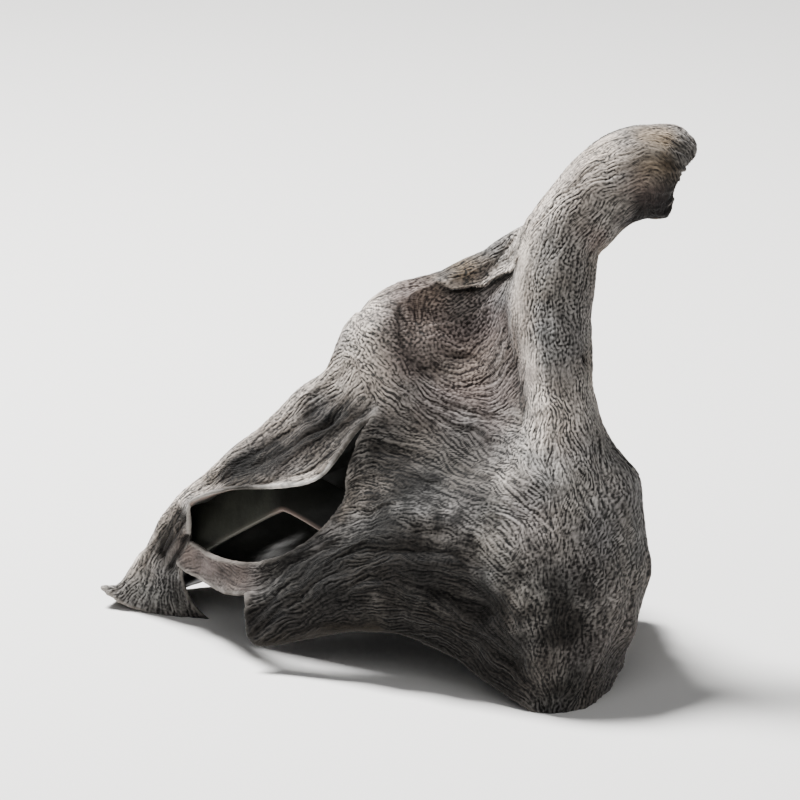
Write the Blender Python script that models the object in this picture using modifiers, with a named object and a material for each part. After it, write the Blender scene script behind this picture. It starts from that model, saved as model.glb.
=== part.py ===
"""A dried wood ear: one thin leathery sheet, drawn up to a hooked base where it was picked from the wood.

The base is a closed horn. Below it the sheet opens into a hood that stands on its own margin. A tear runs up the left
side, between the belly at the front and the flap that makes the left shoulder, and a seam stays open at the back.

Points are (across, up, near) in millimetres, in a plane that leans back by LEAN: across is to the right, up is along
the leaning plane, and near is out of it, towards the front. The sheet is a coarse cage of ribs, softened by
subdivision and given its thickness inwards.
"""

import math

import bmesh
import bpy

MM = 0.001
LEAN = math.radians(15)
SHEET = 0.9  # thickness of the dried sheet
TABLE = (100, 100, 10)  # a block of the table, under the part
HORN_WALL = 2.6  # thickness of the wall of the horn, which is gristle
SOFTENING = 1  # levels of subdivision
MIDDLE = (1.6, 22.4)  # the middle of the footprint, across and deep, which is the origin

# The horn, from its torn end to the neck: the middle of each ring, and its radius.
HORN = [
    ((30.9, 54.2, -5.6), 2.3),
    ((30.2, 54.6, -5.6), 4.0),
    ((28.5, 55.1, -5.7), 4.7),
    ((26.1, 55.1, -5.8), 4.8),
    ((23.6, 54.0, -6.0), 4.6),
    ((21.4, 51.9, -6.1), 4.4),
    ((19.4, 49.0, -6.2), 4.3),
]
SCAR = (30.6, 54.3, -5.6)

# The ribs of the front sheet, from the neck down: where each leaves the horn, in degrees (0 is right and 90 is front),
# and its points. The last rib is the near side of the tear.
FRONT_RIBS = {
    "seam right": (-75, [
        (17.9, 45.5, -10.8), (18.8, 41.8, -13.4), (19.6, 37.8, -16.8), (20.4, 33.8, -20), (20.8, 30, -22),
        (21.2, 26.3, -23.2), (23, 22.3, -25), (25.6, 18.3, -27.6), (26, 14.4, -29.4), (24.2, 11.4, -30),
        (22.5, 8.9, -30.4), (21.7, 6.9, -31.2)]),
    "back right": (-40, [
        (20.8, 46.3, -9.6), (20.6, 42.5, -10), (20.4, 38.2, -10.8), (20.4, 34, -11.6), (21, 30.2, -12.6),
        (22.6, 26.5, -13.6), (25, 22.5, -14.6), (26.2, 17.8, -15.8), (26.3, 13.2, -17), (25.8, 9.6, -18.4),
        (25.2, 8, -19.6), (24.8, 7.4, -20.6)]),
    "right": (0, [
        (22.6, 46.8, -6.2), (22, 43, -6), (21.9, 38.8, -6), (21.8, 34.8, -6.2), (22.2, 31, -6.4),
        (23.6, 27, -6.2), (27, 23.3, -5.8), (27.7, 18, -5.5), (28, 13.4, -5.5), (26.8, 8.2, -6.5),
        (25.2, 4.9, -8.2), (24.3, 3.2, -9.6)]),
    "front right": (42, [
        (20.9, 46.9, -3), (19.6, 43.3, -2.8), (19.5, 39, -2.6), (19.6, 35, -2.4), (20.2, 31, -2),
        (21, 27, -1), (22, 22.8, 0.6), (22.8, 17.8, 2.2), (22.8, 12.4, 2.6), (22, 6.8, 1.4),
        (21.2, 3, 0), (20.8, 0.1, -1)]),
    "arm": (85, [
        (17, 46.6, -1.9), (16, 43.5, -1.9), (16, 39, -1.6), (16.5, 35, -1.2), (17.2, 31, -0.8),
        (17.6, 27, 0.2), (17.3, 22.8, 2.2), (17, 18, 4.2), (17, 12.8, 4.8), (17, 7, 3.8),
        (17, 2.2, 2.6), (17, -1.3, 1.8)]),
    "ridge": (125, [
        (13.9, 46.2, -4.2), (13.3, 43, -4.2), (13.2, 39, -3.8), (14.1, 35, -3), (15.3, 31, -2),
        (15, 27, -0.6), (13.9, 23.2, 1.4), (13.2, 19, 3), (13, 13.8, 3), (13, 8, 1.9),
        (13.2, 3.6, 0.8), (13.3, 0.9, 0.2)]),
    "valley": (150, [
        (13.5, 46.6, -7.6), (12.9, 42.6, -9.2), (12.5, 38.8, -9.2), (12.9, 34.9, -8), (13.3, 31, -6.6),
        (12.4, 27.2, -5.2), (10.8, 23.6, -2.6), (9.9, 19.8, 0.8), (9.4, 14.5, 0.9), (9.2, 9.3, -1),
        (9.4, 5.9, -2.2), (9.5, 3.7, -3)]),
    "web": (168, [
        (13.6, 47.3, -8.6), (11.7, 42.7, -11), (8.8, 39.8, -12), (8.6, 35.6, -10.8), (9.2, 31.4, -8.9),
        (8.6, 27.6, -7.5), (7, 23.6, -5.6), (6, 19.6, -1.7), (5.4, 15, -0.8), (5, 10.6, -2.4),
        (5.2, 8, -3.8), (5.4, 6.5, -4.6)]),
    "web left": (183, [
        (13.7, 48, -9.1), (10.8, 43.1, -12), (6.4, 41, -12.6), (4.6, 36.6, -11), (5, 32, -9.6),
        (5, 28.4, -8.8), (3, 24.2, -7.6), (1.9, 19.9, -4.7), (1.1, 15.7, -3.7), (0.8, 11.8, -4.6),
        (0.9, 9.5, -5.5), (1, 8.1, -6.1)]),
    "bump": (196, [
        (13.8, 48.6, -9.4), (10.4, 43.9, -12.3), (4.8, 42.3, -12.2), (1, 38, -9.2), (1, 33.3, -9.4),
        (1.8, 29.4, -9.4), (-0.5, 25, -9), (-0.9, 20.7, -7.6), (-2.2, 16.8, -7.2), (-5.2, 12.8, -8),
        (-6.5, 10, -9), (-6.2, 7.7, -9.6)]),
    "tear": (208, [
        (13.9, 49.1, -9.8), (10.2, 44.9, -11.1), (3.8, 43.2, -11.6), (-1.4, 39.4, -9.2), (-2, 34.6, -9.6),
        (-0.8, 30.1, -10), (-3.7, 25.5, -10.8), (-3.6, 21.5, -10.5), (-5.7, 18.1, -10.6), (-10.8, 14.5, -12),
        (-14.3, 11.8, -13), (-14.1, 5.5, -12.5)]),
}
# The ribs of the back sheet. The first is the far side of the tear, below the notch that both sides share.
NOTCH = 5
BACK_RIBS = {
    "flap edge": (208, [
        (-2.9, 28.1, -10.6), (-4.9, 26, -10.4), (-6, 23.4, -9.8), (-8.6, 22.2, -10.6), (-11.6, 22, -12.8),
        (-15.5, 22.1, -16), (-19.9, 20.8, -19.8), (-20.3, 18, -23), (-20.7, 14.8, -26), (-20.6, 11.5, -29),
        (-19, 7.9, -31)]),
    "flap": (219, [
        (14, 49.4, -10.4), (10.1, 45.7, -12), (3.2, 43.9, -12.6), (-2.8, 40.6, -11), (-4, 36, -11.2),
        (-3.7, 32.3, -12), (-5.6, 30.3, -12.6), (-7.7, 28.4, -13), (-9.3, 26.3, -13), (-11.6, 24.7, -14),
        (-14.2, 23.6, -16.2), (-17.6, 22.4, -19), (-21, 20.6, -21.8), (-22.3, 17.8, -24.4), (-23.5, 14.6, -27.2),
        (-24.5, 11.5, -29.8), (-24.6, 8, -31.9)]),
    "spine": (230, [
        (14.2, 49.5, -11), (10.3, 46.7, -14), (3, 44.7, -14.6), (-3.3, 42, -13), (-5.5, 37.8, -13),
        (-6.2, 34.4, -13.8), (-8.7, 32.8, -15), (-10.8, 30.8, -16.3), (-13, 28.7, -17.6), (-15.4, 26.7, -19.2),
        (-17.9, 24.6, -21), (-20.6, 22.5, -23), (-23, 20.2, -25), (-25, 17.4, -27.2), (-26.9, 14.6, -29.8),
        (-28.5, 12.4, -32.4), (-29.7, 11.3, -34.6)]),
    "shoulder": (240, [
        (14.6, 49, -11.6), (11.6, 46.3, -15.6), (5.5, 43.6, -17.6), (-0.5, 41, -18.6), (-3.7, 37.6, -19),
        (-6, 33.6, -20.2), (-8.4, 31.3, -21.4), (-10.8, 29.3, -22.4), (-13.2, 27.3, -23.6), (-15.6, 25.3, -25),
        (-18, 23.1, -26.6), (-20.4, 20.9, -28.2), (-22.6, 18.6, -29.8), (-24.6, 16.4, -31.6), (-26.2, 14, -33.8),
        (-27.4, 11.9, -36), (-28, 9.8, -38)]),
    "back left": (250, [
        (15.2, 48.2, -12), (13, 45.3, -18.6), (7.6, 42, -22), (2.6, 39, -24.6), (-1.3, 35.8, -26.6),
        (-4.3, 32.3, -28.2), (-7, 29.7, -29.4), (-9.3, 27.3, -30.2), (-11.5, 25, -30.8), (-13.8, 22.7, -31),
        (-16, 20.3, -31.4), (-18, 18, -32.8), (-19.7, 15.8, -35.2), (-21, 13.8, -37.4), (-22, 12.2, -39.2),
        (-22.6, 11, -40.4), (-22.8, 10.4, -41)]),
    "back": (259, [
        (15.9, 47.3, -11.9), (14.2, 44, -18.6), (9.8, 40.3, -21.8), (6, 37, -24), (2.6, 33.8, -25.8),
        (-0.2, 30.7, -27.2), (-2.3, 28, -28.4), (-4.3, 25.5, -29.6), (-6.1, 23.2, -31), (-7.7, 21, -32.6),
        (-9.2, 19, -34.6), (-10.3, 17.4, -36.8), (-10.8, 16.4, -38.4), (-10.4, 15.8, -39.6), (-9.6, 15.6, -40.6),
        (-8.8, 15.4, -41.2), (-8.2, 15.4, -41.6)]),
    "back middle": (267, [
        (16.6, 46.5, -11.4), (16, 42.8, -19.4), (13.4, 39, -24.8), (11, 35.6, -28.6), (9, 32.4, -31.2),
        (7.2, 29.3, -33.2), (5.8, 26.7, -34.8), (4.6, 24.3, -36.4), (3.6, 22, -37.4), (2.8, 20, -37.8),
        (2, 18.2, -38), (1.4, 16.4, -38.6), (1, 14.9, -39.6), (0.6, 13.6, -40.8), (0.4, 12.5, -41.6),
        (0.3, 11.1, -42.2), (0.3, 9.7, -42.6)]),
    "seam left": (275, [
        (17.2, 45.8, -11), (17.4, 42, -17), (17, 38.2, -22.6), (16.6, 34.7, -27.8), (16.4, 31.3, -32.2),
        (16, 28.3, -35.8), (14.8, 25.7, -37.6), (13, 23.2, -38.2), (11.6, 21, -38.6), (11.2, 19, -39.6),
        (11.6, 17.3, -41.4), (12, 15.9, -43), (11.8, 14.8, -43.8), (11, 13.9, -43.8), (10.4, 13.2, -43.6),
        (10.2, 12.6, -43.6), (10.2, 12, -43.8)]),
}
# A narrow tongue runs back from the lobe: its upper and lower edge at each step, from these rows of the tear.
TONGUE_ROWS = (9, 10)
TONGUE = [
    ((-16.5, 14.2, -16.5), (-16.6, 11.8, -17)),
    ((-19.5, 15.3, -21.5), (-19.5, 12.9, -22)),
    ((-22, 16.8, -26), (-22, 14.7, -26.5)),
]
# Folds that dried crisp: the rib, its first and last row, and how crisp.
FOLDS = [("ridge", 0, 5, 0.6), ("spine", 4, 13, 0.5), ("bump", 0, 2, 0.6)]
# Corners of the margin that dried sharp: the rib, the row, and how sharp.
CORNERS = [("tear", NOTCH, 0.9), ("tear", 10, 0.7), ("tear", 11, 0.5), ("seam right", 11, 0.5),
           ("flap edge", 12, 0.8), ("flap edge", 16, 0.8)]


def stood_up(point):
    """A point of the leaning plane, in metres on the table."""
    across, up, near = point
    deep = up * math.sin(LEAN) - near * math.cos(LEAN)
    height = up * math.cos(LEAN) + near * math.sin(LEAN)
    return ((across - MIDDLE[0]) * MM, (deep - MIDDLE[1]) * MM, height * MM)


def horn_ring(index, turns):
    """Points round the horn, square to its own line."""
    (across, up, near), radius = HORN[index]
    before = HORN[max(index - 1, 0)][0]
    after = HORN[min(index + 1, len(HORN) - 1)][0]
    run, rise = before[0] - after[0], before[1] - after[1]
    length = math.hypot(run, rise)
    points = []
    for turn in turns:
        side = radius * math.cos(math.radians(turn)) / length
        front = radius * math.sin(math.radians(turn))
        points.append((across + side * rise, up - side * run, near + front))
    return points


def build_cage():
    """The coarse cage of the outer face, as a bmesh, with its crisp folds and corners marked."""
    cage = bmesh.new()
    crisp = cage.edges.layers.float.new("crease_edge")
    pointed = cage.verts.layers.float.new("crease_vert")
    wall = cage.verts.layers.deform.new()
    ribs = {name: [cage.verts.new(stood_up(p)) for p in points]
            for name, (turn, points) in (FRONT_RIBS | BACK_RIBS).items()}
    ribs["flap edge"] = ribs["tear"][:NOTCH + 1] + ribs["flap edge"]
    names = list(FRONT_RIBS) + list(BACK_RIBS)[1:]
    turns = [(FRONT_RIBS | BACK_RIBS)[name][0] for name in names]
    rings = [[cage.verts.new(stood_up(p)) for p in horn_ring(k, turns)] for k in range(len(HORN))]
    rings.append([ribs[name][0] for name in names])
    scar = cage.verts.new(stood_up(SCAR))
    count = len(names)
    for k in range(count):
        after = (k + 1) % count
        cage.faces.new((scar, rings[0][after], rings[0][k]))
        for upper, lower in zip(rings, rings[1:]):
            cage.faces.new((upper[k], upper[after], lower[after], lower[k]))
    for group in (list(FRONT_RIBS), list(BACK_RIBS)):
        for right, left in zip(group, group[1:]):
            for row in range(len(ribs[right]) - 1):
                corners = [ribs[right][row], ribs[left][row], ribs[left][row + 1], ribs[right][row + 1]]
                cage.faces.new(corners)
    upper, lower = (ribs["tear"][row] for row in TONGUE_ROWS)
    for step in TONGUE:
        next_upper, next_lower = (cage.verts.new(stood_up(p)) for p in step)
        cage.faces.new((upper, next_upper, next_lower, lower))
        upper, lower = next_upper, next_lower
    for vertex in cage.verts:
        vertex[wall][0] = SHEET / HORN_WALL
    for vertex in [scar] + [v for ring in rings[:-2] for v in ring]:
        vertex[wall][0] = 1
    for name, first, last, amount in FOLDS:
        for one, other in zip(ribs[name][first:last], ribs[name][first + 1:last + 1]):
            cage.edges.get((one, other))[crisp] = amount
    for name, row, amount in CORNERS:
        ribs[name][row][pointed] = amount
    return cage


def clear_scene():
    for obj in list(bpy.data.objects):
        bpy.data.objects.remove(obj, do_unlink=True)


def dried_fungus():
    material = bpy.data.materials.new("dried fungus")
    material.use_nodes = True
    shader = material.node_tree.nodes["Principled BSDF"]
    shader.inputs["Base Color"].default_value = (0.13, 0.12, 0.11, 1)
    shader.inputs["Roughness"].default_value = 0.85
    shader.inputs["Metallic"].default_value = 0
    return material


def table_cutter(collection):
    """The block under the table's surface, which takes off the little that the margin would sink into it."""
    sides = [side * MM for side in TABLE]
    bpy.ops.mesh.primitive_cube_add(size=1, location=(0, 0, -sides[2] / 2), scale=sides)
    cutter = bpy.context.object
    cutter.name = "table cutter"
    cutter.hide_render = True
    cutter.display_type = "WIRE"
    for holder in cutter.users_collection:
        holder.objects.unlink(cutter)
    collection.objects.link(cutter)
    return cutter


def wood_ear(collection, cutter):
    mesh = bpy.data.meshes.new("wood_ear")
    cage = build_cage()
    cage.to_mesh(mesh)
    cage.free()
    mesh.materials.append(dried_fungus())
    obj = bpy.data.objects.new("wood_ear", mesh)
    obj.vertex_groups.new(name="wall")
    collection.objects.link(obj)
    smooth = obj.modifiers.new("Soften", "SUBSURF")
    smooth.levels = smooth.render_levels = SOFTENING
    shell = obj.modifiers.new("Sheet", "SOLIDIFY")
    shell.thickness = HORN_WALL * MM
    shell.vertex_group = "wall"
    shell.offset = -1
    rest = obj.modifiers.new("Rest", "BOOLEAN")
    rest.operation = "DIFFERENCE"
    rest.object = cutter
    mesh.shade_smooth()
    return obj


def main():
    clear_scene()
    part, cutters = (bpy.data.collections.new(name) for name in ("dried wood ear", "cutters"))
    for collection in (part, cutters):
        bpy.context.scene.collection.children.link(collection)
    wood_ear(part, table_cutter(cutters))


main()
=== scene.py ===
"""The looks of a dried wood ear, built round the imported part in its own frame.

The skin is the same sheet as the part's, finer: it is refined from the same ribs, then sculpted, wrinkled
along the way its hairs lie, and given its thickness inwards. Points are (across, up, near) in millimetres,
in a plane that leans back by LEAN: across is to the right, up is along the leaning plane, and near is out of
it, towards the front.
"""

import math

import bmesh
import bpy
import numpy as np
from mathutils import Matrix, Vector
from mathutils.kdtree import KDTree

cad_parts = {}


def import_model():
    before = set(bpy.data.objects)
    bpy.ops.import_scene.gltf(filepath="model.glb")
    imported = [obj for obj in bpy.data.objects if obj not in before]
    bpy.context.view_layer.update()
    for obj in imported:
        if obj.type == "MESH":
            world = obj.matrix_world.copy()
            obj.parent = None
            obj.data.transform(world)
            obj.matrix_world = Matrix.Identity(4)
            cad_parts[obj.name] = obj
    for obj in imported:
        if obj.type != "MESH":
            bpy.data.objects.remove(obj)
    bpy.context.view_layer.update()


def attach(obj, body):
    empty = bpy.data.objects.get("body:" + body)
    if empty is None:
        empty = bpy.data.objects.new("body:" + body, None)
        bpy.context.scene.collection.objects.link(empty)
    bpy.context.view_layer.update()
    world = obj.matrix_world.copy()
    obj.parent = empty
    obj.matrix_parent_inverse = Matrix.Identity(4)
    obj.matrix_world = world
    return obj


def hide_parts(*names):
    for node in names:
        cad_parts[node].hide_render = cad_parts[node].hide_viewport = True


MM = 0.001
LEAN = math.radians(15)
SHEET = 0.9  # thickness of the dried sheet
THIN_MARGIN = 0.42  # the share of it at the margin
THICKER_INLAND = 0.58  # and the share that it gains from there on
FULL_SHEET = 2.5  # how far from the margin it is full
HORN_WALL = 2.6  # thickness of the wall of the horn, which is gristle
MIDDLE = (1.6, 22.4)  # the middle of the footprint, across and deep, which is the origin
NEARER = np.array([0, -math.cos(LEAN), math.sin(LEAN)])  # the way out of the leaning plane, towards the front
LEVELS = 5  # levels of subdivision from the ribs to the skin
MARKS = ("rib", "row", "wall")  # what each point of the skin knows about its place in the cage
FAR = 1e9

# The pieces that the skin is made in, side by side, and the most triangles that each may have.
PIECES = [
    ("wood_ear_horn", 130_000),
    ("wood_ear_front_right", 190_000),
    ("wood_ear_front_left", 190_000),
    ("wood_ear_back_left", 190_000),
    ("wood_ear_back_right", 190_000),
]
HORN_PIECE = 0
FRONT_PIECES = (1, 2)
BACK_PIECES = (3, 4)

# The horn, from its torn end to the neck: the middle of each ring, and its radius.
HORN = [
    ((30.3, 53.9, -5.6), 2.3),
    ((29.7, 54.3, -5.6), 3.8),
    ((28.3, 54.9, -5.7), 4.7),
    ((26.1, 55.1, -5.8), 4.8),
    ((23.6, 54.0, -6.0), 4.6),
    ((21.4, 51.9, -6.1), 4.4),
    ((19.4, 49.0, -6.2), 4.3),
]
SCAR = (30, 54, -5.6)

# The ribs of the front sheet, from the neck down: where each leaves the horn, in degrees (0 is right and 90
# is front), and its points. The last rib is the near side of the tear.
FRONT_RIBS = {
    "seam right": (-75, [
        (17.9, 45.5, -10.8), (18.8, 41.8, -13.4), (19.6, 37.8, -16.8), (20.4, 33.8, -20), (20.8, 30, -22),
        (21.2, 26.3, -23.2), (23, 22.3, -25), (25.6, 18.3, -27.6), (26, 14.4, -29.4), (24.2, 11.4, -30),
        (22.5, 8.9, -30.4), (21.7, 6.9, -31.2)]),
    "back right": (-40, [
        (20.8, 46.3, -9.6), (20.6, 42.5, -10), (20.4, 38.2, -10.8), (20.4, 34, -11.6), (21, 30.2, -12.6),
        (22.6, 26.5, -13.6), (25, 22.5, -14.6), (26.2, 17.8, -15.8), (26.3, 13.2, -17), (25.8, 9.6, -18.4),
        (25.2, 8, -19.6), (24.8, 7.4, -20.6)]),
    "right": (0, [
        (22.6, 46.8, -6.2), (22, 43, -6), (21.9, 38.8, -6), (21.8, 34.8, -6.2), (22.2, 31, -6.4),
        (23.6, 27, -6.2), (27.7, 23.6, -5.8), (27.8, 18, -5.5), (28, 13.4, -5.5), (26.8, 8.2, -6.5),
        (25.2, 4.9, -8.2), (24.3, 3.2, -9.6)]),
    "front right": (42, [
        (20.9, 46.9, -3), (19.6, 43.3, -2.8), (19.5, 39, -2.6), (19.6, 35, -2.4), (20.2, 31, -2),
        (21, 27, -1), (22, 22.8, 0.6), (22.8, 17.8, 2.2), (22.8, 12.4, 2.6), (22, 6.8, 1.4), (21.2, 3, 0),
        (20.8, 0.1, -1)]),
    "arm": (85, [
        (17, 46.6, -1.9), (16, 43.5, -1.9), (16, 39, -1.6), (16.5, 35, -1.2), (17.2, 31, -0.8),
        (17.6, 27, 0.2), (17.3, 22.8, 2.2), (17, 18, 4.2), (17, 12.8, 4.8), (17, 7, 3.8), (17, 2.2, 2.6),
        (17, -1.3, 1.8)]),
    "ridge": (125, [
        (14.3, 46.2, -4.2), (14, 43, -4.2), (14.1, 39, -3.8), (15, 35, -3), (15.9, 31, -2), (15.4, 27, -0.6),
        (13.9, 23.2, 1.4), (13.2, 19, 3), (13, 13.8, 3), (13, 8, 1.9), (13.2, 3.6, 0.8), (13.3, 0.9, 0.2)]),
    "valley": (150, [
        (13.4, 46.6, -7.4), (12.5, 42.6, -8.2), (12.4, 38.8, -7.8), (13, 34.9, -7), (13.5, 31, -6),
        (12.4, 27.2, -5.2), (10.8, 23.6, -2.6), (9.9, 19.8, 0.8), (9.4, 14.5, 0.9), (9.2, 9.3, -1),
        (9.4, 5.9, -2.2), (9.5, 3.7, -3)]),
    "web": (168, [
        (13.6, 47.3, -8.6), (11.7, 42.7, -11), (8.8, 39.8, -12), (8.6, 35.6, -10.8), (9.2, 31.4, -8.9),
        (8.6, 27.6, -7.5), (7, 23.6, -5.6), (6, 19.6, -1.7), (5.4, 15, -0.8), (5, 10.6, -2.4),
        (5.2, 8, -3.8), (5.4, 6.5, -4.6)]),
    "web left": (183, [
        (13.7, 48, -9.1), (10.8, 43.1, -12), (6.4, 41, -12.6), (4.6, 36.6, -11), (5, 32, -9.6),
        (5, 28.4, -8.8), (3, 24.2, -7.6), (1.9, 19.9, -4.7), (1.1, 15.7, -3.7), (0.8, 11.8, -4.6),
        (0.9, 9.5, -5.5), (1, 8.1, -6.1)]),
    "bump": (196, [
        (13.8, 48.6, -9.4), (10.4, 43.9, -12.3), (4.8, 42.3, -12.2), (1, 38, -9.2), (1, 33.3, -9.4),
        (1.8, 29.4, -9.4), (-0.5, 25, -9), (-0.9, 20.7, -7.6), (-2.2, 16.8, -7.2), (-5.2, 12.8, -8),
        (-6.5, 10, -9), (-6.2, 7.7, -9.6)]),
    "tear": (208, [
        (13.9, 49.1, -9.8), (10.2, 44.9, -11.1), (3.8, 43.2, -11.6), (-1.4, 39.4, -9.2), (-2, 34.6, -9.6),
        (-0.8, 30.1, -10), (-3.7, 25.5, -10.8), (-3.6, 21.5, -10.5), (-5.7, 18.1, -10.6), (-10.8, 14.5, -12),
        (-14, 11.4, -13), (-14.3, 5.1, -12.5)]),
}
# The ribs of the back sheet. The first is the far side of the tear, below the notch that both sides share.
NOTCH = 5
BACK_RIBS = {
    "flap edge": (208, [
        (-2.9, 28.1, -10.6), (-4.9, 26, -10.4), (-6, 23.7, -9.8), (-8.6, 22.6, -10.6), (-11.6, 22.7, -12.8),
        (-15.5, 22.8, -16), (-20.3, 20.9, -19.8), (-20.6, 18, -23), (-21.2, 14.8, -26), (-22.1, 11.3, -29),
        (-18.6, 7.8, -30.6)]),
    "flap": (219, [
        (14, 49.4, -10.4), (10.1, 45.7, -12), (3.2, 43.9, -12.6), (-2.8, 40.6, -11), (-4, 36, -11.2),
        (-3.7, 32.3, -12), (-5.6, 30.3, -12.6), (-7.7, 28.4, -13), (-9.3, 26.3, -13), (-11.6, 24.7, -14),
        (-14.2, 23.6, -16.2), (-17.6, 22.4, -19), (-21, 20.6, -21.8), (-22.3, 17.8, -24.4),
        (-23.5, 14.6, -27.2), (-24.9, 11.5, -30), (-26, 8.5, -32.6)]),
    "spine": (230, [
        (14.2, 49.5, -11), (10.3, 46.7, -14), (3, 44.7, -14.6), (-3.3, 42, -13), (-5.5, 37.8, -13),
        (-6.2, 34.4, -13.8), (-8.7, 32.8, -15), (-10.8, 30.8, -16.3), (-13, 28.7, -17.6),
        (-15.4, 26.7, -19.2), (-17.9, 24.6, -21), (-20.6, 22.5, -23), (-23, 20.2, -25), (-25, 17.4, -27.2),
        (-26.9, 14.6, -29.8), (-28.4, 12.6, -32.4), (-30.4, 11.3, -34)]),
    "shoulder": (240, [
        (14.6, 49, -11.6), (11.6, 46.3, -15.6), (5.5, 43.6, -17.6), (-0.5, 41, -18.6), (-3.7, 37.6, -19),
        (-6, 33.6, -20.2), (-8.4, 31.3, -21.4), (-10.8, 29.3, -22.4), (-13.2, 27.3, -23.6),
        (-15.6, 25.3, -25), (-18, 23.1, -26.6), (-20.4, 20.9, -28.2), (-22.6, 18.6, -29.8),
        (-24.6, 16.4, -31.6), (-26.2, 14, -33.8), (-27.4, 11.9, -36), (-28, 9.8, -38)]),
    "back left": (250, [
        (15.2, 48.2, -12), (13, 45.3, -18.6), (7.6, 42, -22), (2.6, 39, -24.6), (-1.3, 35.8, -26.6),
        (-4.3, 32.3, -28.2), (-7, 29.7, -29.4), (-9.3, 27.3, -30.2), (-11.5, 25, -30.8), (-13.8, 22.7, -31),
        (-16, 20.3, -31.4), (-18, 18, -32.8), (-19.7, 15.8, -35.2), (-21, 13.8, -37.4), (-22, 12.2, -39.2),
        (-22.6, 11, -40.4), (-22.8, 10.4, -41)]),
    "back": (259, [
        (15.9, 47.3, -11.9), (14.2, 44, -18.6), (9.8, 40.3, -21.8), (6, 37, -24), (2.6, 33.8, -25.8),
        (-0.2, 30.7, -27.2), (-2.3, 28, -28.4), (-4.3, 25.5, -29.6), (-6.1, 23.2, -31), (-7.7, 21, -32.6),
        (-9.2, 19, -34.6), (-10.3, 17.4, -36.8), (-10.8, 16.4, -38.4), (-10.4, 15.8, -39.6),
        (-9.6, 15.6, -40.6), (-8.8, 15.4, -41.2), (-8.2, 15.4, -41.6)]),
    "back middle": (267, [
        (16.6, 46.5, -11.4), (16, 42.8, -19.4), (13.4, 39, -24.8), (11, 35.6, -28.6), (9, 32.4, -31.2),
        (7.2, 29.3, -33.2), (5.8, 26.7, -34.8), (4.6, 24.3, -36.4), (3.6, 22, -37.4), (2.8, 20, -37.8),
        (2, 18.2, -38), (1.4, 16.4, -38.6), (1, 14.9, -39.6), (0.6, 13.6, -40.8), (0.4, 12.5, -41.6),
        (0.3, 11.1, -42.2), (0.3, 9.7, -42.6)]),
    "seam left": (275, [
        (17.2, 45.8, -11), (17.4, 42, -17), (17, 38.2, -22.6), (16.6, 34.7, -27.8), (16.4, 31.3, -32.2),
        (16, 28.3, -35.8), (14.8, 25.7, -37.6), (13, 23.2, -38.2), (11.6, 21, -38.6), (11.2, 19, -39.6),
        (11.6, 17.3, -41.4), (12, 15.9, -43), (11.8, 14.8, -43.8), (11, 13.9, -43.8), (10.4, 13.2, -43.6),
        (10.2, 12.6, -43.6), (10.2, 12, -43.8)]),
}
EVERY_RIB = FRONT_RIBS | BACK_RIBS
# The ribs in their order round the horn, without the flap's edge, which leaves it together with the tear.
RIBS_ROUND = list(FRONT_RIBS) + list(BACK_RIBS)[1:]
TEAR = len(FRONT_RIBS) - 1  # the tear's number in that order
FRONT_ENDS = TEAR + 2.5  # the number past which the skin is the back's
# A narrow tongue runs back from the lobe: its upper and lower edge at each step, from these rows of the tear.
TONGUE_ROWS = (9, 10)
TONGUE = [
    ((-15, 14.1, -15.5), (-16.2, 11.1, -16)),
    ((-18.3, 15, -20.5), (-18.6, 12, -21)),
    ((-22.5, 17.6, -27), (-22.5, 14.2, -27.5)),
]
# Folds that dried crisp: the rib, its first and last row, and how crisp.
FOLDS = [("ridge", 0, 5, 0.2), ("spine", 4, 13, 0.5), ("bump", 0, 2, 0.6)]
# Corners of the margin that dried sharp: the rib, the row, and how sharp.
CORNERS = [("tear", NOTCH, 0.9), ("tear", 10, 0.4), ("tear", 11, 0.2), ("seam right", 11, 0.5),
           ("flap edge", 12, 0.8), ("flap edge", 16, 0.9), ("spine", 16, 0.8)]

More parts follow.
